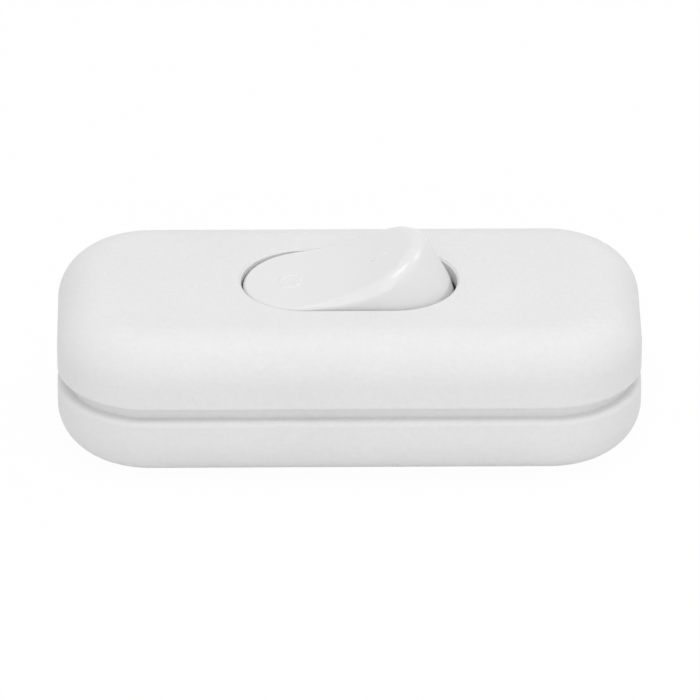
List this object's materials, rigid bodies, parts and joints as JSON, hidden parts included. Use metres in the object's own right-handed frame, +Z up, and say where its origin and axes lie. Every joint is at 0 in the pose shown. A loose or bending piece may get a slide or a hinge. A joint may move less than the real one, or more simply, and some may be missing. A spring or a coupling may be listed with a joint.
{
  "type": "inline cord switch",
  "caption": "Rounded inline cord switch with a rocker on top, a shadow gap round the case, cord holes at both ends and a sprung contact set inside.",
  "frame": {"origin": "middle of the flat underside of the case", "axes": "+X along the cord towards the rocker's raised end at rest, -Y the front, +Z up through the rocker"},
  "size_m": [0.066, 0.0316, 0.0229],
  "materials": {
    "case_plastic": "satin moulded white",
    "rocker_plastic": "smooth moulded white",
    "plunger_plastic": "natural white nylon",
    "clamp_plastic": "moulded off-white",
    "brass": "stamped and bright",
    "contact_silver": "silver alloy",
    "steel": "zinc plated",
    "spring_steel": "drawn wire"
  },
  "bodies": {
    "case": {"upper_shell": "case_plastic", "lower_shell": "case_plastic", "terminal_screws": "steel", "cord_clamp_screws": "steel", "case_screws": "steel", "cord_clamp_left": "clamp_plastic", "cord_clamp_right": "clamp_plastic", "fixed_contact_front": "contact_silver", "pivot_terminal_front": "brass", "contact_terminal_front": "brass", "fixed_contact_rear": "contact_silver", "pivot_terminal_rear": "brass", "contact_terminal_rear": "brass"},
    "rocker": {"rocker": "rocker_plastic", "plunger_spring_front": "spring_steel", "plunger_spring_rear": "spring_steel"},
    "plunger_front": {"plunger_front": "plunger_plastic"},
    "contact_lever_front": {"contact_lever_front": "brass", "moving_contact_front": "contact_silver"},
    "plunger_rear": {"plunger_rear": "plunger_plastic"},
    "contact_lever_rear": {"contact_lever_rear": "brass", "moving_contact_rear": "contact_silver"}
  },
  "joints": [
    {"name": "rocker_pivot", "type": "hinge", "parent": "case", "child": "rocker", "pos_m": [0, 0, 0.014], "axis": [0, 1, 0], "range_deg": [0, 35]},
    {"name": "plunger_front_slide", "type": "slide", "parent": "rocker", "child": "plunger_front", "axis": [-0.3007, 0, 0.9537], "range_m": [0, 0.0004], "stiffness_N_per_m": 200, "springref_m": -0.001, "deforming": ["plunger_spring_front"]},
    {"name": "contact_lever_front_tip", "type": "hinge", "parent": "case", "child": "contact_lever_front", "pos_m": [0, -0.0032, 0.0056], "axis": [0, 1, 0], "range_deg": [-16, 0]},
    {"name": "plunger_rear_slide", "type": "slide", "parent": "rocker", "child": "plunger_rear", "axis": [-0.3007, 0, 0.9537], "range_m": [0, 0.0004], "stiffness_N_per_m": 200, "springref_m": -0.001, "deforming": ["plunger_spring_rear"]},
    {"name": "contact_lever_rear_tip", "type": "hinge", "parent": "case", "child": "contact_lever_rear", "pos_m": [0, 0.0032, 0.0056], "axis": [0, 1, 0], "range_deg": [-16, 0]}
  ],
  "couplings": [
    {"joint": "contact_lever_front_tip", "follows": "rocker_pivot", "ratio": -0.4571},
    {"joint": "contact_lever_rear_tip", "follows": "rocker_pivot", "ratio": -0.4571}
  ]
}
